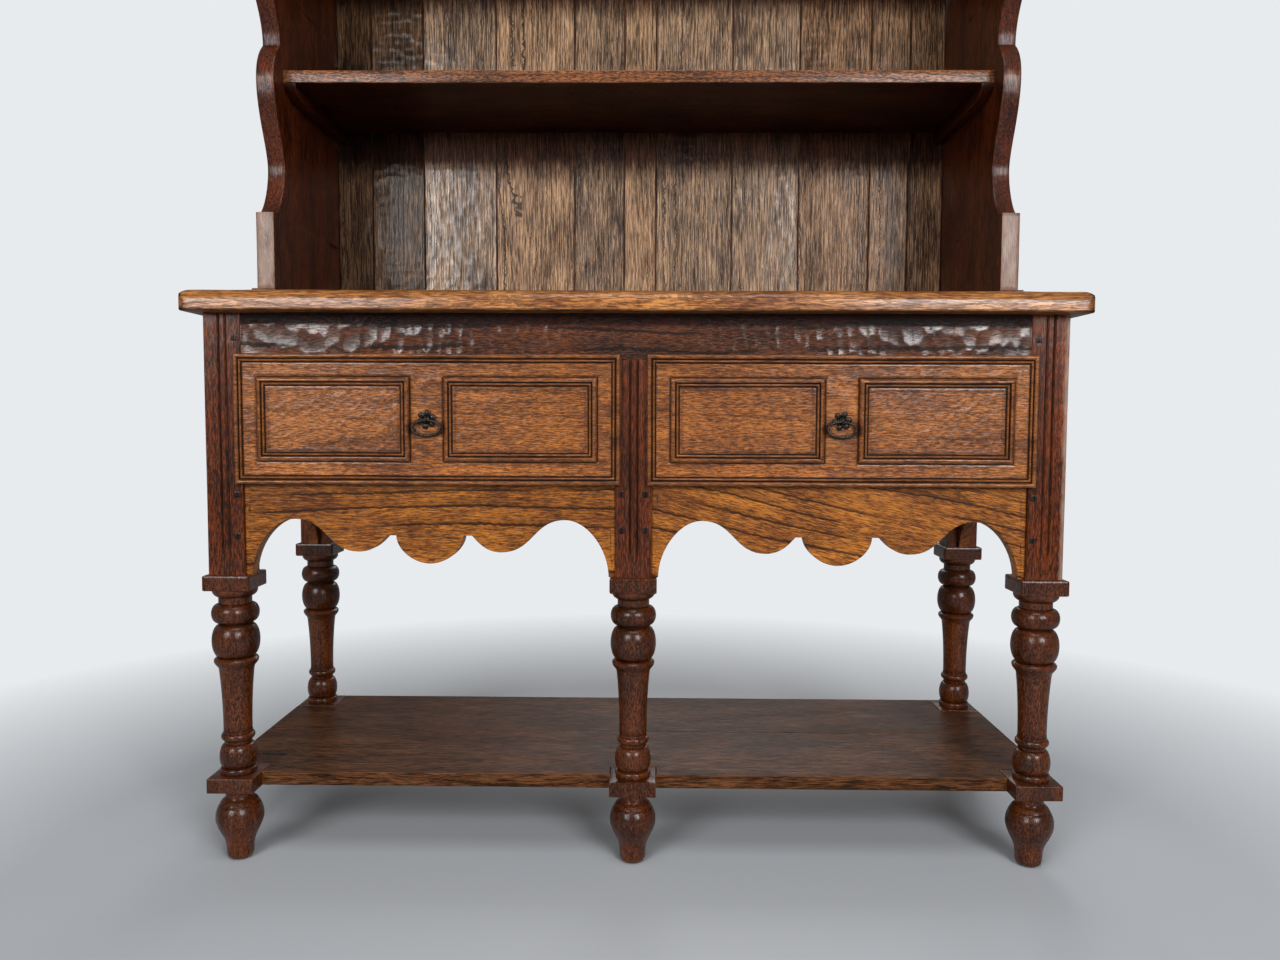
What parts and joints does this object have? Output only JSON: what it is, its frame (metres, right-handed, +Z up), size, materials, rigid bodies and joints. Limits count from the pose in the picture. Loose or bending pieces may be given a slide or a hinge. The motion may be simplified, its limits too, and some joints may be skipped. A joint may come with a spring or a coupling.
{
  "type": "welsh dresser",
  "caption": "Oak dresser: an open plate rack with scrolled sides over a base with lipped panelled drawers, scalloped aprons, turned legs and a low pot shelf.",
  "frame": {"origin": "on the floor, under the middle of the worktop", "axes": "+X to the right seen from the front, +Y towards the wall behind, +Z up; the drawers open towards -Y"},
  "size_m": [1.354, 0.498, 1.905],
  "materials": {
    "worktop_oak": "waxed light brown oak, worn at the edge",
    "front_oak": "waxed mid brown oak",
    "dark_oak": "polished dark red-brown oak",
    "rack_oak": "waxed dark brown oak",
    "board_oak": "grey-brown waxed oak boards",
    "shelf_oak": "worn dark brown oak",
    "inside_oak": "dry unpolished oak",
    "iron": "dark forged iron, rubbed bright on its edges"
  },
  "bodies": {
    "dresser": {"leg_front_left": "dark_oak", "leg_front_middle": "dark_oak", "leg_front_right": "dark_oak", "leg_back_left": "dark_oak", "leg_back_right": "dark_oak", "front_post_left": "dark_oak", "front_post_middle": "dark_oak", "front_post_right": "dark_oak", "back_post_left": "dark_oak", "back_post_right": "dark_oak", "worktop": "worktop_oak", "frieze_rail": "front_oak", "apron_left": "front_oak", "apron_right": "front_oak", "end_board_left": "front_oak", "end_board_right": "front_oak", "pot_shelf_front": "shelf_oak", "pot_shelf_back": "shelf_oak", "base_back": "inside_oak", "drawer_runner_middle": "inside_oak", "drawer_runner_left": "inside_oak", "drawer_runner_right": "inside_oak", "rack_side_left": "rack_oak", "rack_shoe_left": "rack_oak", "lower_cleat_left": "rack_oak", "upper_cleat_left": "rack_oak", "rack_side_right": "rack_oak", "rack_shoe_right": "rack_oak", "lower_cleat_right": "rack_oak", "upper_cleat_right": "rack_oak", "lower_shelf": "rack_oak", "upper_shelf": "rack_oak", "rack_frieze": "rack_oak", "rack_top_board": "rack_oak", "cornice": "rack_oak", "back_board_1": "board_oak", "back_board_2": "board_oak", "back_board_3": "board_oak", "back_board_4": "board_oak", "back_board_5": "board_oak", "back_board_6": "board_oak", "back_board_7": "board_oak", "back_board_8": "board_oak", "back_board_9": "board_oak", "back_board_10": "board_oak", "back_board_11": "board_oak"},
    "drawer_left": {"drawer_front_left": "front_oak", "drawer_back_left": "inside_oak", "drawer_bottom_left": "inside_oak", "drawer_side_outer_left": "inside_oak", "drawer_side_inner_left": "inside_oak", "pull_plate_left": "iron"},
    "drawer_right": {"drawer_front_right": "front_oak", "drawer_back_right": "inside_oak", "drawer_bottom_right": "inside_oak", "drawer_side_outer_right": "inside_oak", "drawer_side_inner_right": "inside_oak", "pull_plate_right": "iron"},
    "ring_left": {"pull_ring_left": "iron"},
    "ring_right": {"pull_ring_right": "iron"}
  },
  "joints": [
    {"name": "drawer_left_slide", "type": "slide", "parent": "dresser", "child": "drawer_left", "axis": [0, -1, 0], "range_m": [0, 0.3]},
    {"name": "drawer_right_slide", "type": "slide", "parent": "dresser", "child": "drawer_right", "axis": [0, -1, 0], "range_m": [0, 0.3]},
    {"name": "ring_left_hinge", "type": "hinge", "parent": "drawer_left", "child": "ring_left", "pos_m": [-0.3115, -0.2333, 0.6933], "axis": [-1, 0, 0], "range_deg": [0, 160]},
    {"name": "ring_right_hinge", "type": "hinge", "parent": "drawer_right", "child": "ring_right", "pos_m": [0.3115, -0.2333, 0.6933], "axis": [-1, 0, 0], "range_deg": [0, 160]}
  ]
}
